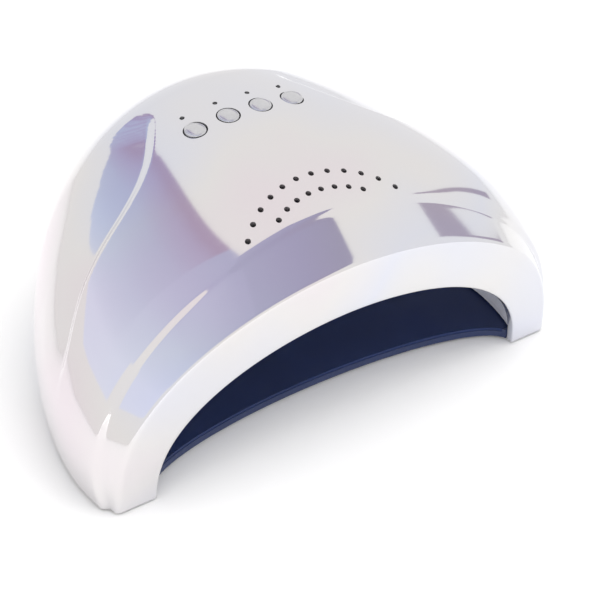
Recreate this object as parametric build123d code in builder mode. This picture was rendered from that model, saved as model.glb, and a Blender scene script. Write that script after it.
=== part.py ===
from build123d import *
import math
import os

os.makedirs("parts", exist_ok=True)

# UV-LED nail curing lamp: a domed lamp that stands over a removable mirror tray.
# Origin: middle of the footprint on the table, +Z up, the hand enters from -Y.

# ------------------------------------------------------------- driving dimensions (mm)
FRONT_Y = -69.8          # front plane of the two front feet
RIM_Z = 1.0              # lower rim of the dome, lifted by the rubber feet
WALL = 3.0               # dome wall
FACE_LEAN = -0.07        # the front face leans forward (run per rise)
CREASE_LEAN = 0.07       # the crease behind the visor leans back
FACE_HALF, FACE_TOP = 94.5, 68.2          # outline of the front face
ARCH_HALF, ARCH_TOP = 78.5, 48.0          # hand opening in the front face
CREASE_BACK, CREASE_HALF = 5.4, 100.0
BODY_DEPTH = 146.3       # where the dome would close behind the feet line
END_BACK = 141.5         # flat pad at the rear that carries the power socket
WIDE_BACK, WIDE_HALF = 18.5, 102.6        # widest station
APEX_BACK, APEX_TOP = 85.8, 99.5          # highest station
ROOF_CURVE = 0.0027      # how fast the roof falls towards the visor
TUCK = 0.048             # the side wall draws in towards the rim
TUCK_Z = 40.0
RECESS_DEEP = 1.8        # finger recess in each shoulder

LINER_WALL = 1.5
LINER_START, LINER_END, LINER_DEPTH = 3.2, 122.0, 126.0
LINER_WIDE_BACK, LINER_HALF0, LINER_HALF = 34.0, 79.3, 85.0
LINER_APEX_BACK, LINER_TOP0, LINER_TOP = 66.0, 48.8, 70.0

BUTTON_BACK, BUTTON_PITCH, BUTTON_DIA = 61.8, 13.6, 8.0
INDICATOR_BEHIND = 8.7
OUTER_BUTTON_DROP = 1.4
BOARD_BELOW, BOARD_T = 13.5, 1.6
VENT_CENTRE_BACK, VENT_PITCH, VENT_DIA = -14.5, 8.5, 2.1

LED_DIA, LED_LONG, LED_WINDOW = 5.0, 6.2, 6.6
PLATE_TOP, TRAY_FLOOR = 4.6, 3.4          # mirror face of the tray and the floor of its pocket
TRAY_BITE_HALF, TRAY_BITE_DEEP = 78.3, 19.0   # hollow front edge of the tray


def back(v):
    """Station measured back from the feet line, as a Y coordinate."""
    return FRONT_Y + v


def arch_plane(station, lean, z=0.0):
    """Upright plane across the lamp; local y runs up, leaning by `lean`."""
    return Plane(origin=(0, back(station) + lean * z, z), x_dir=(1, 0, 0), z_dir=(0, -1, lean))


def arch_points(half, top, n, m, tuck=0.0, steps=22):
    """Superellipse arch from the right foot over the top to the left foot."""
    pts = []
    for i in range(steps + 1):
        a = math.pi * i / steps
        c, s = math.cos(a), math.sin(a)
        x = half * math.copysign(abs(c) ** (2 / n), c)
        z = top * abs(s) ** (2 / m)
        x *= 1 - tuck * max(0.0, 1 - z / TUCK_Z) ** 2
        pts.append((x, z))
    pts[0] = (pts[0][0], 0.0)
    pts[-1] = (pts[-1][0], 0.0)
    return pts


def arch_face(plane, pts, skirt=0.0):
    """Sketch of one arch, closed along the bottom (optionally with a skirt below)."""
    with BuildSketch(plane) as sk:
        with BuildLine():
            Spline(*pts)
            if skirt:
                Polyline(pts[-1], (pts[-1][0], -skirt), (pts[0][0], -skirt), pts[0])
            else:
                Line(pts[-1], pts[0])
        make_face()
    return sk.sketch


def dome_station(v, d):
    """Half width, height and section exponents of the dome, shrunk by d."""
    depth = BODY_DEPTH - d
    if v < WIDE_BACK:
        u = (WIDE_BACK - v) / (WIDE_BACK - CREASE_BACK)
        half = WIDE_HALF - (WIDE_HALF - CREASE_HALF - 2.0) * u ** 2
    else:
        u = (v - WIDE_BACK) / (depth - WIDE_BACK)
        half = WIDE_HALF * (1 - u ** 1.614) ** (1 / 1.614)
    if v < APEX_BACK:
        top = APEX_TOP - ROOF_CURVE * (APEX_BACK - v) ** 2
    else:
        u = (v - APEX_BACK) / (depth - APEX_BACK)
        top = APEX_TOP * (1 - u ** 1.70) ** (1 / 1.70)
    fade = math.exp(-(v - CREASE_BACK) / 12.0)
    return half - d, top - d, 1.94 - 0.24 * fade, 2.95 - 0.65 * fade


def dome_solid(d=0.0, skirt=0.0):
    """The solid dome shrunk by d: a bevelled visor in front of the crease, then the body."""
    face = arch_face(arch_plane(d, FACE_LEAN), arch_points(FACE_HALF - d, FACE_TOP - d, 1.9, 2.6), skirt)
    stations = [CREASE_BACK, 14, 26, 42, 60, 78, 95, 110, 123, 133, END_BACK]
    faces = []
    for i, v in enumerate(stations):
        at = v - d if v > APEX_BACK else v
        if i == 0:
            at = v + 0.35 * d
        half, top, n, m = dome_station(at, d)
        lean = CREASE_LEAN * max(0.0, 1 - (v - CREASE_BACK) / 55.0)
        faces.append(arch_face(arch_plane(at, lean), arch_points(half, top, n, m, TUCK), skirt))
    with BuildPart() as visor:
        add(face)
        add(faces[0])
        loft(ruled=True)
    with BuildPart() as body:
        for f in faces:
            add(f)
        loft()
    return visor.part + body.part


def liner_solid(d=0.0, skirt=0.0):
    """Reflector cavity grown by d: a smooth tunnel that closes towards the rear."""
    faces = []
    for v in (LINER_START, 14, 30, 50, 70, 88, 104, 115, LINER_END):
        if v < LINER_WIDE_BACK:
            half = LINER_HALF - (LINER_HALF - LINER_HALF0) * ((LINER_WIDE_BACK - v) / 31.3) ** 2
        else:
            u = (v - LINER_WIDE_BACK) / (LINER_DEPTH - LINER_WIDE_BACK)
            half = LINER_HALF * (1 - u ** 1.8) ** (1 / 1.8)
        if v < LINER_APEX_BACK:
            top = LINER_TOP - (LINER_TOP - LINER_TOP0) * ((LINER_APEX_BACK - v) / 63.3) ** 2
        else:
            u = (v - LINER_APEX_BACK) / (LINER_DEPTH - LINER_APEX_BACK)
            top = LINER_TOP * (1 - u ** 1.9) ** (1 / 1.9)
        lean = FACE_LEAN * max(0.0, 1 - (v - LINER_START) / 40.0)
        at = v + (d if v > LINER_APEX_BACK else 0.0) * (v - LINER_APEX_BACK) / 56.0
        faces.append(arch_face(arch_plane(at, lean), arch_points(half + d, top + d, 1.95, 2.5), skirt))
    with BuildPart() as p:
        for f in faces:
            add(f)
        loft()
    return p.part


def drum(at, direction, dia, long):
    """Round bar starting at a point and running along a direction."""
    with BuildPart(Plane(origin=at, z_dir=direction)) as p:
        Cylinder(dia / 2, long, align=(Align.CENTER, Align.CENTER, Align.MIN))
    return p.part


def save(part, label):
    part.label = label
    export_step(part, "parts/" + label + ".step")


def save_group(parts, label):
    """Identical pieces that share one node."""
    save(Compound(label=label, children=[p.solids()[0] if len(p.solids()) == 1 else p for p in parts]), label)


# ------------------------------------------------------------------ shared solids
outer = dome_solid(0.0)
inner = dome_solid(WALL, skirt=3.0)
below_recess = dome_solid(RECESS_DEEP, skirt=3.0)


def recess_prism():
    """Side view of the crescent finger recess, run straight through both shoulders."""
    outline = [(39.5, 64.0), (50.0, 68.0), (63.0, 72.0), (74.5, 79.0), (83.0, 88.0), (82.5, 93.5),
               (76.0, 95.2), (66.0, 92.8), (55.0, 87.5), (46.5, 79.5), (38.0, 65.0)]
    with BuildPart() as p:
        with BuildSketch(Plane.YZ.offset(-120)):
            with BuildLine():
                Spline(*[(back(v), z) for v, z in outline])
                Line((back(38.0), 65.0), (back(39.5), 64.0))
            make_face()
        extrude(amount=240)
    return p.part


# ------------------------------------------------------------------ button row frame
roof_slope = 2 * ROOF_CURVE * (APEX_BACK - BUTTON_BACK)
roof_z = APEX_TOP - ROOF_CURVE * (APEX_BACK - BUTTON_BACK) ** 2 - 0.35
tilt = math.atan(roof_slope)
ROW_UP = Vector(0, -math.sin(tilt), math.cos(tilt))
ROW_IN = Vector(0, math.sin(tilt), -math.cos(tilt))
row = Plane(origin=(0, back(BUTTON_BACK), roof_z), x_dir=(1, 0, 0), z_dir=ROW_UP)
BUTTON_X = [(-1.5 + i) * BUTTON_PITCH for i in range(4)]
BUTTON_DROP = [OUTER_BUTTON_DROP if i in (0, 3) else 0.0 for i in range(4)]
BOARD_TOP = -BOARD_BELOW                      # board face, along the row frame's own up axis


def in_row(x, v, w):
    """Point in the button row frame: x along the row, v up the roof, w outwards."""
    return row.from_local_coords(Vector(x, v, w))


# ------------------------------------------------------------------ outer shell
boss_xy = [(91.7, 27.0), (47.4, 112.3), (28.0, 126.3)]          # liner screws, half of them
magnet_xy = [(89.8, 15.5), (37.7, 119.8)]                       # holding magnets, half of them
board_posts = [(-27.0, -5.5), (27.0, -5.5), (-27.0, 12.5), (27.0, 12.5)]
FLANGE_Z, FLANGE_T, BOSS_DIA = 5.4, 1.5, 5.0

recesses = (outer & recess_prism()) - below_recess
holes = []
for x in BUTTON_X:
    holes.append(drum(in_row(x, 0, -8), ROW_UP, BUTTON_DIA + 0.8, 16))
    holes.append(drum(in_row(x, INDICATOR_BEHIND, -8), ROW_UP, 1.8, 16))
# two arcs of vent holes, drilled square to the roof
vent_tilt = math.atan(2 * ROOF_CURVE * (APEX_BACK - 22.0))
vent_up = Vector(0, -math.sin(vent_tilt), math.cos(vent_tilt))
for radius, count in ((42.3, 12), (35.5, 8)):
    for i in range(count):
        a = math.radians((i - (count - 1) / 2) * VENT_PITCH)
        v = VENT_CENTRE_BACK + radius * math.cos(a)
        start = Vector(radius * math.sin(a), back(v), APEX_TOP - ROOF_CURVE * (APEX_BACK - v) ** 2)
        holes.append(drum(start - vent_up * 12, vent_up, VENT_DIA, 20))
# socket hole in the rear pad
holes.append(drum((0, back(END_BACK - 8), 14), (0, 1, 0), 8.2, 16))

with BuildPart() as shell:
    add(outer)
    add(recesses, mode=Mode.SUBTRACT)
    add(inner, mode=Mode.SUBTRACT)
    # hand opening
    with BuildSketch(arch_plane(-3.0, FACE_LEAN)):
        with BuildLine():
            Spline(*arch_points(ARCH_HALF, ARCH_TOP, 1.95, 2.4))
            Polyline((-ARCH_HALF, 0), (-ARCH_HALF, -4), (ARCH_HALF, -4), (ARCH_HALF, 0))
        make_face()
    extrude(amount=-12, mode=Mode.SUBTRACT)
    add(holes, mode=Mode.SUBTRACT)

posts = []
for x, v in board_posts:
    posts.append(drum(in_row(x, v, BOARD_TOP), ROW_UP, 5.0, 12) & outer)
bosses = []
for bx, bv in boss_xy:
    for side in (-1, 1):
        bosses.append(drum((side * bx, back(bv), FLANGE_Z + FLANGE_T), (0, 0, 1), BOSS_DIA, 11) & outer)
pilots = [drum(in_row(x, v, BOARD_TOP), ROW_UP, 2.0, 6) for x, v in board_posts]
pilots += [drum((side * bx, back(bv), FLANGE_Z + FLANGE_T), (0, 0, 1), 2.2, 8)
           for side in (-1, 1) for bx, bv in boss_xy]
with BuildPart() as shell_full:
    add(shell.part)
    add(posts)
    add(bosses)
    add(pilots, mode=Mode.SUBTRACT)
    with Locations((0, 0, RIM_Z - 5)):
        Box(400, 400, 10, mode=Mode.SUBTRACT)
save(shell_full.part, "outer_shell")

# ------------------------------------------------------------------ inner reflector and LEDs
# Each LED board is a flat plate; its LEDs look inwards, square to the board.
side_tilt = math.radians(36.0)


def side_board_plane(side):
    """Frame on the inner face of a side board: local x to the rear, z towards the hand."""
    inward = Vector(-side * math.cos(side_tilt), 0, -math.sin(side_tilt))
    return Plane(origin=(side * 76.8, back(40.0), 39.5), x_dir=(0, 1, 0), z_dir=inward)


top_board = Plane(origin=(0, back(57.0), 73.4), x_dir=(0, 1, 0), z_dir=(0, 0, -1))
SIDE_LEDS = [(-16 + 8.0 * i, q) for i in range(5) for q in (-8.5, 8.5)]
TOP_LEDS = [(-15 + 15 * i, q) for i in range(3) for q in (-27.0, 0.0, 27.0)] + [(22.5, 0.0)]
led_seats = [(side_board_plane(side), p, q) for side in (-1, 1) for p, q in SIDE_LEDS]
led_seats += [(top_board, p, q) for p, q in TOP_LEDS]

side_holes = [(-20.5, 0.0), (20.5, 0.0)]
top_holes = [(-24.0, 14.0), (-24.0, -14.0), (27.0, 14.0), (27.0, -14.0)]
board_seats = [(side_board_plane(side), p, q) for side in (-1, 1) for p, q in side_holes]
board_seats += [(top_board, p, q) for p, q in top_holes]

flange_outline = dome_solid(WALL + 0.5, skirt=3.0)
with BuildPart() as liner:
    add(liner_solid(LINER_WALL, skirt=0.0))
    with Locations((0, 0, FLANGE_Z - 5)):
        Box(400, 400, 10, mode=Mode.SUBTRACT)
with BuildPart() as flange:
    with Locations((0, back(LINER_START + 75), FLANGE_Z + FLANGE_T / 2)):
        Box(260, 150, FLANGE_T)
    add(flange_outline, mode=Mode.INTERSECT)
with BuildPart() as liner_full:
    add(liner.part)
    add(flange.part)
    for plane, p, q in board_seats:
        add(drum(plane.from_local_coords(Vector(p, q, 0.05)), plane.z_dir, 4.6, 9))
    add(liner_solid(0.0, skirt=8.0), mode=Mode.SUBTRACT)
    for plane, p, q in led_seats:
        start = plane.from_local_coords(Vector(p, q, 0.6))
        add(drum(start, plane.z_dir, LED_WINDOW, 16), mode=Mode.SUBTRACT)
    for plane, p, q in board_seats:
        add(drum(plane.from_local_coords(Vector(p, q, -1)), plane.z_dir, 2.1, 3.6), mode=Mode.SUBTRACT)
    for side in (-1, 1):
        for bx, bv in boss_xy:
            add(drum((side * bx, back(bv), FLANGE_Z - 1), (0, 0, 1), 3.2, 4), mode=Mode.SUBTRACT)
        # sensor eyes near the front of the roof
        add(drum((side * 14, back(24), 50), (0, 0, 1), 4.2, 16), mode=Mode.SUBTRACT)
save(liner_full.part, "inner_reflector")


def led():
    """5 mm LED standing on the local XY plane, looking along +Z."""
    with BuildPart() as p:
        Cylinder(LED_DIA / 2 + 0.3, 0.9, align=(Align.CENTER, Align.CENTER, Align.MIN))
        Cylinder(LED_DIA / 2, LED_LONG - LED_DIA / 2, align=(Align.CENTER, Align.CENTER, Align.MIN))
        with Locations((0, 0, LED_LONG - LED_DIA / 2)):
            Sphere(LED_DIA / 2)
    return p.part


one_led = led()
leds = []
for plane, p, q in led_seats:
    seat = Plane(origin=plane.from_local_coords(Vector(p, q, 0.05)), z_dir=plane.z_dir)
    leds.append(seat.location * one_led)
save_group(leds, "leds")


def board(plane, long, wide, holes):
    """Flat circuit board lying behind a plane."""
    with BuildPart(plane) as p:
        Box(long, wide, BOARD_T, align=(Align.CENTER, Align.CENTER, Align.MAX))
        fillet(p.edges().filter_by(lambda e: abs(e.length - BOARD_T) < 0.01), 1.5)
        with Locations(*holes):
            Hole(1.3)
    return p.part


save(board(side_board_plane(-1), 46, 25, side_holes), "led_board_left")
save(board(side_board_plane(1), 46, 25, side_holes), "led_board_right")
save(board(top_board, 60, 66, top_holes), "led_board_top")


def screw(at, direction, shank_dia, shank, head_dia, head):
    """Pan-head screw: head at the start point, shank along the direction."""
    with BuildPart() as p:
        with Locations((0, 0, -head)):
            Cylinder(head_dia / 2, head, align=(Align.CENTER, Align.CENTER, Align.MIN))
        fillet(p.edges().sort_by(Axis.Z)[0], head * 0.45)
        with Locations((0, 0, -head)):
            Box(head_dia * 0.55, 0.5, head * 0.7, mode=Mode.SUBTRACT)
            Box(0.5, head_dia * 0.55, head * 0.7, mode=Mode.SUBTRACT)
        Cylinder(shank_dia / 2, shank, align=(Align.CENTER, Align.CENTER, Align.MIN))
    return Plane(origin=at, z_dir=direction).location * p.part


# ------------------------------------------------------------------ control board under the buttons
control_plane = Plane(origin=in_row(0, 3.5, BOARD_TOP - 0.05), x_dir=(1, 0, 0), z_dir=ROW_UP)
control_holes = [(x, v - 3.5) for x, v in board_posts]
with BuildPart(control_plane) as control:
    Box(64, 26, BOARD_T, align=(Align.CENTER, Align.CENTER, Align.MAX))
    fillet(control.edges().filter_by(lambda e: abs(e.length - BOARD_T) < 0.01), 1.5)
    with Locations(*control_holes):
        Hole(1.2)
save(control.part, "control_board")

with BuildPart(Plane(origin=in_row(9.0, 8.6, BOARD_TOP - BOARD_T - 0.15), x_dir=(1, 0, 0), z_dir=ROW_IN)) as p:
    Box(9, 6, 1.6, align=(Align.CENTER, Align.CENTER, Align.MIN))
    fillet(p.edges().filter_by(Axis(Vector(0, 0, 0), ROW_IN)), 0.3)
save(p.part, "control_chip")

switches = []
for x in BUTTON_X:
    with BuildPart(Plane(origin=in_row(x, 0, BOARD_TOP), x_dir=(1, 0, 0), z_dir=ROW_UP)) as sw:
        Box(6, 6, 3.4, align=(Align.CENTER, Align.CENTER, Align.MIN))
        fillet(sw.edges().filter_by(Axis(Vector(0, 0, 0), ROW_UP)), 0.4)
        with Locations((0, 0, 3.4)):
            Cylinder(1.7, 0.9, align=(Align.CENTER, Align.CENTER, Align.MIN))
    switches.append(sw.part)
save_group(switches, "tact_switches")


def button(x, drop):
    """Domed cap with a hidden collar under the roof and a stem down to its switch."""
    stem_w = BOARD_TOP + 5.2
    crown = -drop + 1.0 - stem_w
    collar = -drop - WALL - 3.3 - stem_w
    with BuildPart() as p:
        with Locations((0, 0, collar)):
            Cylinder(BUTTON_DIA / 2, crown - collar, align=(Align.CENTER, Align.CENTER, Align.MIN))
        fillet(p.edges().sort_by(Axis.Z)[-1], 1.5)
        Cylinder(1.5, collar + 0.5, align=(Align.CENTER, Align.CENTER, Align.MIN))
        with Locations((0, 0, collar)):
            Cylinder(BUTTON_DIA / 2 + 0.8, 1.0, align=(Align.CENTER, Align.CENTER, Align.MIN))
    return row.location * Location((x, 0, stem_w)) * p.part


for i, (x, drop) in enumerate(zip(BUTTON_X, BUTTON_DROP)):
    save(button(x, drop), ("button_power", "button_short", "button_medium", "button_long")[i])

pipes = []
for x, drop in zip(BUTTON_X, BUTTON_DROP):
    with BuildPart(Plane(origin=in_row(x, INDICATOR_BEHIND, BOARD_TOP), x_dir=(1, 0, 0), z_dir=ROW_UP)) as lp:
        Cylinder(1.5, BOARD_BELOW - drop - WALL - 1.0, align=(Align.CENTER, Align.CENTER, Align.MIN))
        Cylinder(0.6, BOARD_BELOW - drop - 0.2, align=(Align.CENTER, Align.CENTER, Align.MIN))
    pipes.append(lp.part)
save_group(pipes, "indicator_lights")

control_screws = []
for x, v in board_posts:
    control_screws.append(screw(in_row(x, v, BOARD_TOP - BOARD_T - 0.1), ROW_UP, 1.9, 6.0, 4.2, 1.5))
save_group(control_screws, "control_board_screws")

liner_screws = []
for side in (-1, 1):
    for bx, bv in boss_xy:
        liner_screws.append(screw((side * bx, back(bv), FLANGE_Z), (0, 0, 1), 2.1, 8.5, 3.6, 0.5))
save_group(liner_screws, "reflector_screws")

board_screws = []
for plane, p, q in board_seats:
    board_screws.append(screw(plane.from_local_coords(Vector(p, q, -BOARD_T - 0.05)), plane.z_dir, 1.9, 4.0, 4.0, 1.4))
save_group(board_screws, "led_board_screws")

# ------------------------------------------------------------------ hand sensor
eyes = []
for side in (-1, 1):
    with BuildPart(Plane(origin=(side * 14, back(24), 59.6), z_dir=(0, 0, 1))) as eye:
        Cylinder(1.9, 8.0, align=(Align.CENTER, Align.CENTER, Align.MIN))
        with Locations((0, 0, 4.8)):
            Cylinder(3.0, 1.0, align=(Align.CENTER, Align.CENTER, Align.MIN))
    eyes.append(eye.part)
save_group(eyes, "hand_sensor")

# ------------------------------------------------------------------ power socket in the rear pad
SOCKET_Z = 14.0
wall_in, wall_out = END_BACK - WALL, END_BACK
with BuildPart(Plane(origin=(0, back(wall_in - 0.1), SOCKET_Z), x_dir=(1, 0, 0), z_dir=(0, 1, 0))) as socket:
    Box(11, 10, 12, align=(Align.CENTER, Align.CENTER, Align.MAX))
    fillet(socket.edges().filter_by(Axis.Y), 1.0)
    Cylinder(4.0, WALL + 0.1 + 2.8, align=(Align.CENTER, Align.CENTER, Align.MIN))
    with Locations((0, 0, WALL + 0.1 + 2.8)):
        Cylinder(2.8, 10, align=(Align.CENTER, Align.CENTER, Align.MAX), mode=Mode.SUBTRACT)
save(socket.part, "power_socket")

with BuildPart(Plane(origin=(0, back(wall_out + 2.8 - 10.0), SOCKET_Z), z_dir=(0, 1, 0))) as pin:
    Cylinder(1.05, 8.5, align=(Align.CENTER, Align.CENTER, Align.MIN))
save(pin.part, "socket_pin")

with BuildPart() as nut:
    with BuildSketch(Plane(origin=(0, back(wall_out + 0.05), SOCKET_Z), x_dir=(1, 0, 0), z_dir=(0, 1, 0))):
        RegularPolygon(6.4, 6)
        Circle(4.05, mode=Mode.SUBTRACT)
    extrude(amount=2.0)
save(nut.part, "socket_nut")


# ------------------------------------------------------------------ wires
def wire(*pts):
    """Round wire along a smooth path."""
    with BuildPart() as p:
        with BuildLine() as path:
            Spline(*pts)
        with BuildSketch(Plane(origin=path.line @ 0, z_dir=path.line % 0)):
            Circle(1.1)
        sweep()
    return p.part


under = BOARD_TOP - BOARD_T - 1.4
wires = [wire((side * 73.5, back(44), 56), (side * 63, back(48), 66), (side * 46, back(56), 76),
              in_row(side * 29, 4, under)) for side in (-1, 1)]
wires.append(wire((0, back(125.1), SOCKET_Z - 1), (0, back(125.4), 24), (0, back(121), 52), (0, back(104), 73),
                  (0, back(88), 82), in_row(0, 14.5, under)))
save_group(wires, "wire_harness")


# ------------------------------------------------------------------ magnets, tray, mirror, feet
def slab(z0, z1):
    with BuildPart() as p:
        with Locations((0, 0, (z0 + z1) / 2)):
            Box(400, 400, z1 - z0)
    return p.part


def tray_front(grow=0.0):
    """Elliptical bite that gives the tray its hollow front edge."""
    with BuildPart() as p:
        with BuildSketch(Plane.XY.offset(-1)):
            with Locations((0, back(2.0))):
                Ellipse(TRAY_BITE_HALF + grow, TRAY_BITE_DEEP + grow)
            with Locations((0, back(-18.0))):
                Rectangle(2 * (TRAY_BITE_HALF + grow), 40)
        extrude(amount=20)
    return p.part


save_group([drum((side * mx, back(mv), FLANGE_Z + FLANGE_T + 0.05), (0, 0, 1), 6.0, 2.0)
            for side in (-1, 1) for mx, mv in magnet_xy], "lamp_magnets")
save_group([drum((side * mx, back(mv), 1.45), (0, 0, 1), 6.0, 1.9)
            for side in (-1, 1) for mx, mv in magnet_xy], "tray_magnets")

foot_xy = [(72.0, 24.0), (38.0, 104.0)]
pocket_outline = dome_solid(WALL + 2.1, skirt=3.0)
with BuildPart() as tray:
    add(flange_outline & slab(RIM_Z, PLATE_TOP))
    add(pocket_outline & slab(TRAY_FLOOR, PLATE_TOP + 1), mode=Mode.SUBTRACT)
    add(tray_front(), mode=Mode.SUBTRACT)
    for side in (-1, 1):
        for fx, fv in foot_xy:
            add(drum((side * fx, back(fv), RIM_Z - 1), (0, 0, 1), 12.4, 1.8), mode=Mode.SUBTRACT)
        for mx, mv in magnet_xy:
            add(drum((side * mx, back(mv), 1.4), (0, 0, 1), 6.3, 5), mode=Mode.SUBTRACT)
save(tray.part, "base_tray")

mirror_outline = dome_solid(WALL + 2.3, skirt=3.0)
with BuildPart() as mirror:
    add(mirror_outline & slab(TRAY_FLOOR + 0.05, PLATE_TOP))
    add(tray_front(0.2), mode=Mode.SUBTRACT)
save(mirror.part, "mirror_plate")

save_group([drum((side * fx, back(fv), 0), (0, 0, 1), 12.0, 1.75)
            for side in (-1, 1) for fx, fv in foot_xy], "rubber_feet")
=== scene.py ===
import math

import bmesh
import bpy
import numpy as np
from mathutils import Matrix, Vector


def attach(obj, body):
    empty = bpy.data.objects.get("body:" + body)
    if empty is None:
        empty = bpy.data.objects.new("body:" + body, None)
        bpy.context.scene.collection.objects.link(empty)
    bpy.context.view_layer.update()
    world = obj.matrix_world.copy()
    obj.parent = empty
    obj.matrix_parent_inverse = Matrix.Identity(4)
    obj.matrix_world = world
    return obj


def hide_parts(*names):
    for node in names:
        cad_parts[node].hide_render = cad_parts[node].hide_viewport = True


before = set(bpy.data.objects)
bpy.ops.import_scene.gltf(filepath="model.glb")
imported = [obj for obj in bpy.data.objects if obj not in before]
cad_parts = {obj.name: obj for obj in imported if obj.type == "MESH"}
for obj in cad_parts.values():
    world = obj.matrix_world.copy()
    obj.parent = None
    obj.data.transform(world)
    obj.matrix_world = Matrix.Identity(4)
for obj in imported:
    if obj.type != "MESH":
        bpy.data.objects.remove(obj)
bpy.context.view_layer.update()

# ------------------------------------------------------------------ the lamp's own measures (mm)
FRONT_Y, RIM_Z, WALL = -69.8, 1.0, 3.0
FACE_LEAN, CREASE_LEAN = -0.07, 0.07
CREASE_BACK, END_BACK, BODY_DEPTH = 5.4, 141.5, 146.3
WIDE_BACK, WIDE_HALF, CREASE_HALF = 18.5, 102.6, 100.0
APEX_BACK, APEX_TOP, ROOF_CURVE = 85.8, 99.5, 0.0027
TUCK, TUCK_Z = 0.048, 40.0
MM = 0.001
OPENING_ARCH = (78.5, 48.0, 1.95, 2.4)      # half width, height and the two exponents
FACE_ARCH_HALF, FACE_ARCH_TOP, FACE_N, FACE_M = 94.5, 68.2, 1.9, 2.6
SOCKET_Z = 14.0
VENT_CENTRE, VENT_PITCH, VENT_ROWS = -17.0, 8.5, ((42.3, 12), (35.5, 8))   # rows: radius and number of holes
# the band along the crease above the visor: its width, and its rise at the top and at the sides
STEP_BAND, STEP_LOW, STEP_HIGH = 2.4, 0.4, 1.1


def superellipse(half, top, n, m, t, tuck=0.0):
    """Point (x, z) of an arch at angle t, from the right foot (0) to the left foot (pi)."""
    c, s = np.cos(t), np.clip(np.sin(t), 0, 1)
    x = half * np.sign(c) * np.abs(c) ** (2 / n)
    z = top * s ** (2 / m)
    return x * (1 - tuck * np.clip(1 - z / TUCK_Z, 0, None) ** 2), z


def station(v, d=0.0):
    """Half width, height, exponents and lean of the dome's section at v behind the feet line."""
    v = np.asarray(v, float)
    depth = BODY_DEPTH - d
    u = (WIDE_BACK - v) / (WIDE_BACK - CREASE_BACK)
    w = np.clip((v - WIDE_BACK) / (depth - WIDE_BACK), 0, 0.99999)
    half = np.where(v < WIDE_BACK, WIDE_HALF - (WIDE_HALF - CREASE_HALF - 2.0) * u ** 2,
                    WIDE_HALF * (1 - w ** 1.614) ** (1 / 1.614))
    a = np.clip((v - APEX_BACK) / (depth - APEX_BACK), 0, 0.99999)
    top = np.where(v < APEX_BACK, APEX_TOP - ROOF_CURVE * (APEX_BACK - v) ** 2,
                   APEX_TOP * (1 - a ** 1.7) ** (1 / 1.7))
    fade = np.exp(-(v - CREASE_BACK) / 12.0)
    lean = CREASE_LEAN * np.clip(1 - (v - CREASE_BACK) / 55.0, 0, None)
    return half - d, top - d, 1.94 - 0.24 * fade, 2.95 - 0.65 * fade, lean


def body_point(v, t, d=0.0):
    half, top, n, m, lean = station(v, d)
    x, z = superellipse(half, top, n, m, t, TUCK)
    return np.stack([x, FRONT_Y + v + lean * z, z], -1)


def face_point(half, top, n, m, t, behind=0.0):
    x, z = superellipse(half, top, n, m, t)
    return np.stack([x, FRONT_Y + behind + FACE_LEAN * z, z], -1)


def toward(a, b, dist):
    """Point at a distance from a on the way to b."""
    g = b - a
    return a + g * np.minimum(dist / (np.linalg.norm(g, axis=-1, keepdims=True) + 1e-9), 0.49)


def round_corner(before, corner, after, k):
    """k points of a parabolic arc that rounds a corner."""
    out = []
    for s in np.linspace(0, 1, k):
        out.append((1 - s) ** 2 * before + 2 * s * (1 - s) * corner + s ** 2 * after)
    return out


def smooth(a, b, x):
    s = np.clip((x - a) / (b - a), 0, 1)
    return s * s * (3 - 2 * s)


# ------------------------------------------------------------------ finger recess
# Its steep front edge runs from high on the shoulder down to the front foot:
# (station behind the feet line, height angle above the foot in degrees).
STEP_LINE = [(96, 73.5), (88, 73.0), (80, 71.2), (72.9, 68.4), (65, 65.6), (59.3, 62.9), (54, 59.8),
             (49.8, 56.0), (46.6, 52.0), (44.2, 47.5), (41.6, 42.5), (38.3, 36.5), (34.2, 31.5),
             (30.6, 27.0), (28.2, 22.5), (26.8, 18.0), (25.8, 13.0)]


def step_curve():
    p = np.array(STEP_LINE, float)
    k = np.arange(len(p))
    kk = np.linspace(0, len(p) - 1, 240)
    # smooth interpolation through the listed points
    v = np.interp(kk, k, p[:, 0])
    a = np.interp(kk, k, p[:, 1])
    for _ in range(60):
        v[1:-1] = 0.25 * v[:-2] + 0.5 * v[1:-1] + 0.25 * v[2:]
        a[1:-1] = 0.25 * a[:-2] + 0.5 * a[1:-1] + 0.25 * a[2:]
    pts = body_point(v, np.radians(a))
    length = np.concatenate([[0], np.cumsum(np.linalg.norm(np.diff(pts, axis=0), axis=1))])
    top = np.interp(68.4, a[::-1], length[::-1])
    return v, a, pts, length - top


STEP_V, STEP_A, STEP_P, STEP_L = step_curve()


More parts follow.
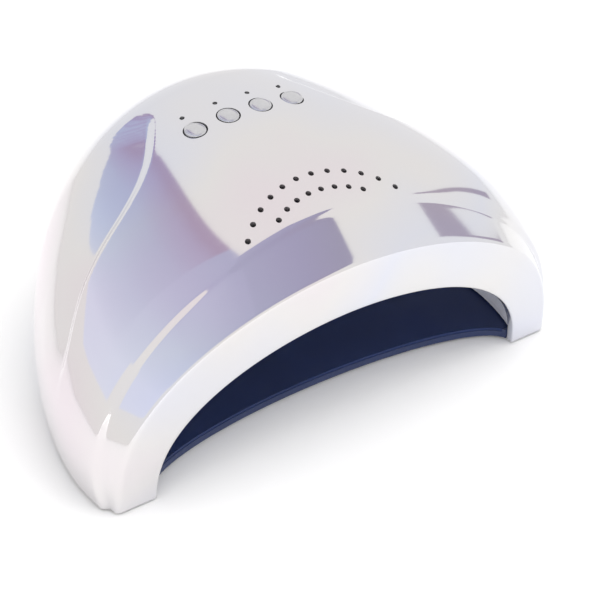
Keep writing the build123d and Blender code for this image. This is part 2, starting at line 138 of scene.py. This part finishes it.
def recess_depth(v, t, p):
    """How far the surface point p(v, t) is pushed in; mirrored left and right."""
    q = p.copy()
    q[:, 0] = np.abs(q[:, 0])
    ang = np.degrees(np.minimum(t, math.pi - t))
    depth = np.zeros(len(q))
    near = np.where((v > 10) & (v < 125) & (ang > 5))[0]
    for lo in range(0, len(near), 20000):
        idx = near[lo:lo + 20000]
        d2 = ((q[idx, None, :] - STEP_P[None]) ** 2).sum(-1)
        j = d2.argmin(1)
        dist = np.sqrt(d2[np.arange(len(idx)), j])
        tangent = np.gradient(STEP_P, axis=0)[j]
        tangent /= np.linalg.norm(tangent, axis=1, keepdims=True)
        off = q[idx] - STEP_P[j]
        # behind the line, towards the rear, the surface is lower
        outward = np.stack([q[idx, 0] / 100, np.zeros(len(idx)), q[idx, 2] / 90], -1)
        side = (np.cross(tangent, outward) * off).sum(1)
        behind = np.where(side > 0, -dist, dist)
        along = STEP_L[j]
        # profile across the step
        wall = np.clip(behind / 3.2, 0, 1)
        wall = 0.8 * wall + 0.2 * smooth(0, 1, wall)
        reach = np.interp(along, [-25, 0, 25, 60, 95, 125], [20, 26, 30, 26, 18, 14])
        floor = 1 - smooth(3.2, 1.0 * reach, behind)
        size = smooth(-13, 4, along) * (1 - smooth(86, 110, along))
        depth[idx] = 1.7 * size * wall * floor
    return depth


# ------------------------------------------------------------------ mesh helpers
def new_object(name, verts, faces, smooth_angle=35.0):
    me = bpy.data.meshes.new(name)
    me.from_pydata([tuple(v) for v in verts], [], faces)
    me.validate()
    ob = bpy.data.objects.new(name, me)
    bpy.context.collection.objects.link(ob)
    shade(ob, smooth_angle)
    return ob


def shade(ob, angle=35.0):
    bm = bmesh.new()
    bm.from_mesh(ob.data)
    bmesh.ops.recalc_face_normals(bm, faces=bm.faces)
    for f in bm.faces:
        f.smooth = True
    for e in bm.edges:
        e.smooth = not (len(e.link_faces) == 2 and e.calc_face_angle(0) > math.radians(angle))
    bm.to_mesh(ob.data)
    bm.free()


def grid_faces(rows, cols, flip=False):
    out = []
    for i in range(rows - 1):
        for j in range(cols - 1):
            a, b, c, d = i * cols + j, i * cols + j + 1, (i + 1) * cols + j + 1, (i + 1) * cols + j
            out.append((a, d, c, b) if flip else (a, b, c, d))
    return out


def lathe(name, profile, place, segments=64, smooth_angle=35.0):
    """Solid of revolution; profile is (radius, height) in mm, place is a 4x4 in metres."""
    verts, faces = [], []
    n = len(profile)
    for k in range(segments):
        a = 2 * math.pi * k / segments
        for r, h in profile:
            verts.append(place @ Vector((r * math.cos(a) * MM, r * math.sin(a) * MM, h * MM)))
    for k in range(segments):
        k2 = (k + 1) % segments
        for i in range(n - 1):
            faces.append((k * n + i, k2 * n + i, k2 * n + i + 1, k * n + i + 1))
    ob = new_object(name, verts, faces, smooth_angle)
    bm = bmesh.new()
    bm.from_mesh(ob.data)
    bmesh.ops.remove_doubles(bm, verts=bm.verts, dist=1e-6)
    bmesh.ops.holes_fill(bm, edges=[e for e in bm.edges if e.is_boundary])
    bm.to_mesh(ob.data)
    bm.free()
    shade(ob, smooth_angle)
    return ob


def frame_matrix(origin, up):
    """4x4 (metres) with local z along up, from an origin in mm."""
    z = Vector(up).normalized()
    x = Vector((1, 0, 0))
    x = (x - z * x.dot(z)).normalized()
    y = z.cross(x)
    m = Matrix((x, y, z)).transposed().to_4x4()
    m.translation = Vector(origin) * MM
    return m


# ------------------------------------------------------------------ outer shell
def shell_mesh():
    nt = 340
    nv = 300
    t = np.linspace(0, math.pi, nt)
    rows = []
    face_in = face_point(*OPENING_ARCH, t)
    face_out = face_point(FACE_ARCH_HALF - STEP_HIGH, FACE_ARCH_TOP - 1.3 * STEP_LOW, FACE_N, FACE_M, t)
    crease = body_point(CREASE_BACK, t)
    after = body_point(CREASE_BACK + 1.0, t)
    inner_lip = face_point(*OPENING_ARCH, t, WALL)
    rows += round_corner(toward(face_in, inner_lip, 0.7), face_in, toward(face_in, face_out, 0.7), 5)
    f_edge = toward(face_out, face_in, 1.3)
    for s in np.linspace(0, 1, 10)[1:]:
        rows.append(rows[4] * (1 - s) + f_edge * s if s < 1 else f_edge)
    rows += round_corner(f_edge, face_out, toward(face_out, crease, 1.3), 10)[1:]
    # the visor lies a little lower than the hood; a narrow band steps up to the crease
    across = crease - face_out
    along = np.gradient(crease, axis=0)
    lift = np.cross(across, along)
    lift /= np.linalg.norm(lift, axis=-1, keepdims=True)
    lift *= np.sign((lift * (crease - np.array([0, 0, 20.0]))).sum(-1))[..., None]
    rise = STEP_LOW + (STEP_HIGH - STEP_LOW) * smooth(0.45, 0.66, np.abs(np.cos(t)))[:, None]
    foot = toward(crease, face_out, STEP_BAND) - lift * rise
    v_edge = toward(foot, face_out, 0.8)
    last = rows[-1]
    for s in np.linspace(0, 1, 10)[1:]:
        rows.append(last * (1 - s) + v_edge * s)
    rows += round_corner(v_edge, foot, toward(foot, crease, 0.8), 6)[1:]
    rows += round_corner(toward(crease, foot, 0.8), crease, after, 7)[:-1]
    k0 = len(rows)
    vs = CREASE_BACK + 1.0 + (END_BACK - 3.0 - CREASE_BACK) * np.linspace(0, 1, nv) ** 0.97
    for v in vs:
        rows.append(body_point(v, t))
    k1 = len(rows)
    end = body_point(END_BACK, t)
    mid = np.array([0, FRONT_Y + END_BACK, 12.0])
    inset = end + (mid - end) * 0.07
    rows += round_corner(rows[-1], end, inset, 6)[1:]
    for s in (0.3, 0.6, 0.97):
        rows.append(inset * (1 - s) + mid * s)
    outer = np.array(rows)
    # press the recess in along the surface normal
    body = outer[k0:k1]
    du = np.gradient(body, axis=0)
    dt = np.gradient(body, axis=1)
    nrm = np.cross(dt, du)
    nrm /= np.linalg.norm(nrm, axis=-1, keepdims=True) + 1e-12
    vv = np.repeat(vs, nt)
    tt = np.tile(t, len(vs))
    dep = recess_depth(vv, tt, body.reshape(-1, 3)).reshape(len(vs), nt)
    sign = np.sign((nrm * (body - np.array([0, 0, 30.0]))).sum(-1))[..., None]
    outer[k0:k1] = body - nrm * sign * dep[..., None]
    # inside of the wall
    back_v = np.linspace(CREASE_BACK + 1.0, END_BACK, 44)
    inner = [face_point(FACE_ARCH_HALF - WALL, FACE_ARCH_TOP - WALL, FACE_N, FACE_M, t, WALL)]
    for v in back_v:
        shift = WALL * max(0.0, (v - APEX_BACK) / (END_BACK - APEX_BACK))
        inner.append(body_point(v - shift, t, WALL))
    inner = np.array(inner)
    sink = np.zeros((len(inner), nt))
    for i, v in enumerate(back_v):
        sink[i + 1] = recess_depth(np.full(nt, v), t, body_point(v, t))
    centre = np.array([0, FRONT_Y + 70, 20.0])
    direction = inner - centre
    direction /= np.linalg.norm(direction, axis=-1, keepdims=True)
    inner = inner - direction * sink[..., None] * 0.9
    inner_mid = np.array([[[0, FRONT_Y + END_BACK - WALL, 12.0]]])
    inner_mid = inner_mid + 0.03 * (inner[-1:] - inner[-1:].mean(1, keepdims=True))
    inner = np.concatenate([inner, inner[-1:] * 0.4 + inner_mid * 0.6, inner_mid])
    loop = np.concatenate([outer, inner[::-1], inner_lip[None]])
    loop[..., 2] = np.maximum(loop[..., 2], RIM_Z)
    n_rows, cols = loop.shape[:2]
    verts = loop.reshape(-1, 3) * MM
    faces = grid_faces(n_rows, cols)
    # close the loop at the opening lip and the rim underneath
    for j in range(cols - 1):
        faces.append(((n_rows - 1) * cols + j, (n_rows - 1) * cols + j + 1, j + 1, j))
    faces.append([i * cols for i in range(n_rows)])
    faces.append([i * cols + cols - 1 for i in range(n_rows)][::-1])
    return verts, faces


def cutter(parts):
    """One mesh of round bars: (origin mm, direction, radius mm, length mm)."""
    bm = bmesh.new()
    for origin, up, r, length in parts:
        m = frame_matrix(origin, up)
        m = m @ Matrix.Translation((0, 0, length * MM / 2))
        bmesh.ops.create_cone(bm, cap_ends=True, segments=40, radius1=r * MM, radius2=r * MM,
                              depth=length * MM, matrix=m)
    me = bpy.data.meshes.new("cutter")
    bm.to_mesh(me)
    bm.free()
    ob = bpy.data.objects.new("cutter", me)
    bpy.context.collection.objects.link(ob)
    return ob


def subtract(ob, tool):
    mod = ob.modifiers.new("cut", "BOOLEAN")
    mod.operation = "DIFFERENCE"
    mod.solver = "EXACT"
    mod.object = tool
    bpy.context.view_layer.objects.active = ob
    bpy.ops.object.modifier_apply(modifier=mod.name)
    bpy.data.objects.remove(tool, do_unlink=True)


# button row frame
BUTTON_BACK, PITCH, BUTTON_R = 61.8, 13.6, 4.0
tilt = math.atan(2 * ROOF_CURVE * (APEX_BACK - BUTTON_BACK))
row_z = APEX_TOP - ROOF_CURVE * (APEX_BACK - BUTTON_BACK) ** 2 - 0.35
ROW_UP = (0, -math.sin(tilt), math.cos(tilt))
ROW = frame_matrix((0, FRONT_Y + BUTTON_BACK, row_z), ROW_UP)


def in_row(x, v, w):
    return tuple(ROW @ Vector((x * MM, v * MM, w * MM)) / MM)


button_x = [(-1.5 + i) * PITCH for i in range(4)]
button_drop = [1.4, 0.0, 0.0, 1.4]
holes = []
for x in button_x:
    holes.append((in_row(x, 0, -7), ROW_UP, BUTTON_R + 0.4, 16))
    holes.append((in_row(x, 8.7, -7), ROW_UP, 0.9, 16))
vent_tilt = math.atan(2 * ROOF_CURVE * (APEX_BACK - 22.0))
vent_up = Vector((0, -math.sin(vent_tilt), math.cos(vent_tilt)))
for radius, count in VENT_ROWS:
    for i in range(count):
        a = math.radians((i - (count - 1) / 2) * VENT_PITCH)
        v = VENT_CENTRE + radius * math.cos(a)
        p = Vector((radius * math.sin(a), FRONT_Y + v, APEX_TOP - ROOF_CURVE * (APEX_BACK - v) ** 2))
        holes.append((tuple(p - vent_up * 9), tuple(vent_up), 1.05, 16))
holes.append(((0, FRONT_Y + END_BACK - 8, SOCKET_Z), (0, 1, 0), 4.1, 16))

verts, faces = shell_mesh()
shell = new_object("lamp_shell", verts, faces)
subtract(shell, cutter(holes))
shade(shell, 40)
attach(shell, "lamp")
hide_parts("outer_shell")


# ------------------------------------------------------------------ materials
def nodes_of(name):
    mat = bpy.data.materials.new(name)
    mat.use_nodes = True
    nt = mat.node_tree
    return mat, nt, nt.nodes["Principled BSDF"]


def noise(nt, scale, detail=3.0, coords="Object"):
    tc = nt.nodes.new("ShaderNodeTexCoord")
    n = nt.nodes.new("ShaderNodeTexNoise")
    n.inputs["Scale"].default_value = scale
    n.inputs["Detail"].default_value = detail
    nt.links.new(tc.outputs[coords], n.inputs["Vector"])
    return n


def ramp(nt, source, stops):
    r = nt.nodes.new("ShaderNodeValToRGB")
    while len(r.color_ramp.elements) < len(stops):
        r.color_ramp.elements.new(0.5)
    for e, (pos, col) in zip(r.color_ramp.elements, stops):
        e.position = pos
        e.color = (*col, 1)
    nt.links.new(source, r.inputs["Fac"])
    return r


def bump(nt, bsdf, source, strength, distance):
    b = nt.nodes.new("ShaderNodeBump")
    b.inputs["Strength"].default_value = strength
    b.inputs["Distance"].default_value = distance
    nt.links.new(source, b.inputs["Height"])
    nt.links.new(b.outputs["Normal"], bsdf.inputs["Normal"])


def plain(name, color, rough=0.45, metal=0.0, vary=0.06, scale=60, rough_vary=0.08,
          bump_strength=0.05, spec=0.5):
    """Moulded or plated surface: slight colour drift, uneven gloss and a fine grain."""
    mat, nt, bsdf = nodes_of(name)
    n = noise(nt, scale)
    dark = tuple(c * (1 - vary) for c in color)
    light = tuple(min(1, c * (1 + vary)) for c in color)
    r = ramp(nt, n.outputs["Fac"], [(0.3, dark), (0.7, light)])
    nt.links.new(r.outputs["Color"], bsdf.inputs["Base Color"])
    m = nt.nodes.new("ShaderNodeMapRange")
    m.inputs["To Min"].default_value = max(0.02, rough - rough_vary)
    m.inputs["To Max"].default_value = min(1, rough + rough_vary)
    fine = noise(nt, scale * 9, 4)
    nt.links.new(fine.outputs["Fac"], m.inputs["Value"])
    nt.links.new(m.outputs["Result"], bsdf.inputs["Roughness"])
    bsdf.inputs["Metallic"].default_value = metal
    bsdf.inputs["Specular IOR Level"].default_value = spec
    if bump_strength:
        bump(nt, bsdf, fine.outputs["Fac"], bump_strength, 0.0002)
    return mat


def pearl():
    """Pearl-white gloss moulding under a clear colour-shifting coat."""
    mat, nt, bsdf = nodes_of("pearl_gloss")
    slow = noise(nt, 9.0, 2.0)
    tint = ramp(nt, slow.outputs["Fac"], [(0.30, (0.74, 0.65, 0.70)), (0.45, (0.73, 0.71, 0.71)),
                                          (0.58, (0.68, 0.69, 0.76)), (0.72, (0.74, 0.72, 0.68))])
    nt.links.new(tint.outputs["Color"], bsdf.inputs["Base Color"])
    fine = noise(nt, 900.0, 2.0)
    m = nt.nodes.new("ShaderNodeMapRange")
    m.inputs["To Min"].default_value = 0.05
    m.inputs["To Max"].default_value = 0.10
    nt.links.new(fine.outputs["Fac"], m.inputs["Value"])
    nt.links.new(m.outputs["Result"], bsdf.inputs["Roughness"])
    bsdf.inputs["Metallic"].default_value = 0.85
    bsdf.inputs["Coat Weight"].default_value = 0.35
    bsdf.inputs["Coat Roughness"].default_value = 0.03
    bsdf.inputs["Coat IOR"].default_value = 1.45
    bsdf.inputs["Thin Film IOR"].default_value = 1.45
    film = nt.nodes.new("ShaderNodeMapRange")
    film.inputs["To Min"].default_value = 330.0
    film.inputs["To Max"].default_value = 520.0
    nt.links.new(slow.outputs["Fac"], film.inputs["Value"])
    nt.links.new(film.outputs["Result"], bsdf.inputs["Thin Film Thickness"])
    return mat


def give(ob, mat):
    ob.data.materials.clear()
    ob.data.materials.append(mat)


PEARL = pearl()
give(shell, PEARL)

# ------------------------------------------------------------------ buttons
SILVER = plain("satin_silver", (0.62, 0.62, 0.64), rough=0.22, metal=0.9, vary=0.04, scale=300,
               rough_vary=0.05)
stem = -13.5 + 5.2
button_names = ("button_power", "button_short", "button_medium", "button_long")
for name, x, drop in zip(button_names, button_x, button_drop):
    crown = -drop + 0.95
    collar = -drop - WALL - 3.25
    profile = [(0, stem + 0.05), (1.4, stem + 0.05), (1.45, stem + 0.1), (1.45, collar),
               (BUTTON_R + 0.7, collar), (BUTTON_R + 0.75, collar + 0.1),
               (BUTTON_R + 0.75, collar + 0.9), (BUTTON_R + 0.65, collar + 1.0),
               (BUTTON_R - 0.02, collar + 1.0), (BUTTON_R - 0.02, crown - 1.05)]
    # rounded shoulder, a shallow ring groove, then a domed crown
    for s in np.linspace(0, 1, 9)[1:]:
        a = s * math.pi / 2
        profile.append((BUTTON_R - 0.02 - 0.55 * (1 - math.cos(a)), crown - 1.05 + 0.5 * math.sin(a)))
    profile += [(3.3, crown - 0.62), (3.2, crown - 0.66), (3.1, crown - 0.6)]
    for s in np.linspace(0, 1, 12)[1:]:
        r = 3.1 * (1 - s)
        profile.append((r, crown - 0.6 * (r / 3.1) ** 2))
    ob = lathe(name + "_cap", profile, frame_matrix(in_row(x, 0, 0), ROW_UP), 72, 38)
    give(ob, SILVER)
    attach(ob, name + "_body")
    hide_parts(name)

# ------------------------------------------------------------------ carried-over pieces
WHITE = plain("reflector_white", (0.82, 0.83, 0.90), rough=0.35, vary=0.02, scale=40)
MIRROR_MAT = plain("navy_plate", (0.018, 0.030, 0.092), rough=0.18, vary=0.10, scale=25, rough_vary=0.05,
                   bump_strength=0.01, spec=0.2)

looks = {
    "inner_reflector": WHITE,
    "mirror_plate": MIRROR_MAT,
    "base_tray": plain("tray_navy", (0.020, 0.032, 0.092), rough=0.35, vary=0.08, scale=40),
    "rubber_feet": plain("rubber_black", (0.03, 0.03, 0.032), rough=0.8, vary=0.2, scale=200,
                         bump_strength=0.2),
    "led_board_left": plain("board_white", (0.72, 0.74, 0.72), rough=0.4, vary=0.05, scale=120),
    "control_chip": plain("chip_black", (0.02, 0.02, 0.022), rough=0.5, vary=0.2, scale=300),
    "socket_nut": plain("zinc_steel", (0.55, 0.55, 0.57), rough=0.3, metal=1.0, vary=0.08, scale=250),
    "power_socket": plain("socket_black", (0.025, 0.025, 0.028), rough=0.45, vary=0.15, scale=200),
    "socket_pin": plain("plated_brass", (0.68, 0.55, 0.30), rough=0.25, metal=1.0, vary=0.08, scale=300),
    "wire_harness": plain("wire_red", (0.35, 0.03, 0.03), rough=0.45, vary=0.12, scale=150),
    "lamp_magnets": plain("nickel", (0.55, 0.55, 0.56), rough=0.2, metal=1.0, vary=0.05, scale=300),
    "hand_sensor": plain("sensor_dark", (0.02, 0.015, 0.03), rough=0.15, vary=0.2, scale=200,
                         bump_strength=0.0),
    "leds": plain("led_epoxy", (0.62, 0.62, 0.75), rough=0.12, vary=0.06, scale=400, bump_strength=0.0),
    "indicator_lights": plain("indicator_dark", (0.03, 0.03, 0.035), rough=0.25, vary=0.2, scale=300,
                              bump_strength=0.0),
}
same_look = {"led_board_right": "led_board_left", "led_board_top": "led_board_left",
             "control_board": "led_board_left", "tact_switches": "control_chip",
             "control_board_screws": "socket_nut", "reflector_screws": "socket_nut",
             "led_board_screws": "socket_nut", "tray_magnets": "lamp_magnets"}
for a, b in same_look.items():
    looks[a] = looks[b]
for node, mat in looks.items():
    give(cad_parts[node], mat)

# ------------------------------------------------------------------ studio
fm, fnt, fb = nodes_of("studio_floor")
fn = noise(fnt, 2.0, 2.0)
fr = ramp(fnt, fn.outputs["Fac"], [(0.3, (0.90, 0.90, 0.90)), (0.7, (0.92, 0.92, 0.92))])
fnt.links.new(fr.outputs["Color"], fb.inputs["Base Color"])
fb.inputs["Roughness"].default_value = 0.75
me = bpy.data.meshes.new("floor")
me.from_pydata([(-6, -6, 0), (6, -6, 0), (6, 6, 0), (-6, 6, 0)], [], [(0, 1, 2, 3)])
floor = bpy.data.objects.new("floor", me)
bpy.context.collection.objects.link(floor)
give(floor, fm)


def area(name, at, look, size, power):
    data = bpy.data.lights.new(name, "AREA")
    data.shape = "RECTANGLE"
    data.size, data.size_y = size
    data.energy = power
    ob = bpy.data.objects.new(name, data)
    ob.location = at
    ob.rotation_euler = (Vector(look) - Vector(at)).to_track_quat("-Z", "Y").to_euler()
    ob.visible_glossy = False
    bpy.context.collection.objects.link(ob)


def card(name, corners, stops, axis=0, jag=0.05, strength=1.0):
    """Softly glowing studio card; its colour runs along one local axis."""
    me = bpy.data.meshes.new(name)
    me.from_pydata(corners, [], [tuple(range(len(corners)))])
    ob = bpy.data.objects.new(name, me)
    bpy.context.collection.objects.link(ob)
    mat = bpy.data.materials.new(name)
    mat.use_nodes = True
    nt = mat.node_tree
    nt.nodes.clear()
    out = nt.nodes.new("ShaderNodeOutputMaterial")
    glow = nt.nodes.new("ShaderNodeEmission")
    glow.inputs["Strength"].default_value = strength
    tc = nt.nodes.new("ShaderNodeTexCoord")
    sep = nt.nodes.new("ShaderNodeSeparateXYZ")
    nt.links.new(tc.outputs["Generated"], sep.inputs["Vector"])
    wobble = noise(nt, 3.0, 4.0, "Generated")
    mix = nt.nodes.new("ShaderNodeMath")
    mix.operation = "MULTIPLY_ADD"
    mix.inputs[1].default_value = jag
    nt.links.new(wobble.outputs["Fac"], mix.inputs[0])
    nt.links.new(sep.outputs[axis], mix.inputs[2])
    nt.links.new(ramp(nt, mix.outputs[0], stops).outputs["Color"], glow.inputs["Color"])
    nt.links.new(glow.outputs["Emission"], out.inputs["Surface"])
    ob.data.materials.append(mat)
    ob.visible_diffuse = False
    ob.visible_shadow = False
    ob.visible_camera = False


world = bpy.data.worlds.new("studio")
bpy.context.scene.world = world
world.use_nodes = True
bg = world.node_tree.nodes["Background"]
bg.inputs["Color"].default_value = (1.0, 0.99, 0.98, 1)
bg.inputs["Strength"].default_value = 0.95
# darker, bluish ceiling panels over the left and the front of the lamp, seen only in reflections
card("panel_left", [(-3.6, -0.35, 1.5), (-0.01, -0.35, 1.5), (-0.01, 2.2, 1.5), (-3.6, 2.2, 1.5)],
     [(0.0, (0.74, 0.78, 0.95)), (0.50, (0.70, 0.74, 0.92)), (0.76, (0.52, 0.58, 0.76)),
      (0.90, (0.42, 0.45, 0.64)), (0.97, (0.37, 0.32, 0.52)), (1.0, (0.33, 0.23, 0.40))],
     jag=0.04, strength=1.15)
card("panel_left_front", [(-3.6, -1.4, 1.5), (-1.6, -1.4, 1.5), (-1.6, -2.3, 1.5), (-0.01, -2.3, 1.5),
                          (-0.01, -0.35, 1.5), (-3.6, -0.35, 1.5)],
     [(0.0, (0.74, 0.78, 0.95)), (0.50, (0.70, 0.74, 0.92)), (0.76, (0.55, 0.61, 0.79)),
      (1.0, (0.36, 0.37, 0.58))],
     jag=0.04, strength=1.15)
card("panel_front", [(-0.01, -0.58, 1.5), (0.36, -0.27, 1.5), (1.0, -0.62, 1.5), (1.0, -2.3, 1.5),
                     (-0.01, -2.3, 1.5)],
     [(0.0, (0.38, 0.39, 0.62)), (0.5, (0.30, 0.30, 0.52)), (1.0, (0.27, 0.24, 0.42))])
card("panel_right", [(2.4, -0.58, 1.48), (2.4, -0.36, 1.46), (2.4, -0.04, 0.99),
                     (2.4, 0.47, 0.21), (2.4, 0.29, 0.21), (2.4, -0.08, 0.85)],
     [(0.0, (0.42, 0.36, 0.46)), (1.0, (0.36, 0.28, 0.38))])
area("fill", (-0.6, -1.5, 0.35), (0, 0, 0.03), (1.0, 0.5), 9)
area("key", (0.5, -0.5, 2.2), (0, 0, 0.03), (2.0, 2.0), 24)

# ------------------------------------------------------------------ camera
az, el = math.radians(-34.98), math.radians(34.52)
dist, lens_mm = 0.632, 112.62
target = Vector((-0.0194, FRONT_Y * MM, 0.0589))
back_dir = Vector((math.sin(az) * math.cos(el), -math.cos(az) * math.cos(el), math.sin(el)))
cam_data = bpy.data.cameras.new("camera")
cam_data.sensor_width = 36.0
cam_data.lens = lens_mm
cam = bpy.data.objects.new("camera", cam_data)
cam.location = target + back_dir * dist
cam.rotation_euler = back_dir.to_track_quat("Z", "Y").to_euler()
bpy.context.collection.objects.link(cam)
bpy.context.scene.camera = cam
bpy.context.scene.view_settings.view_transform = "Standard"
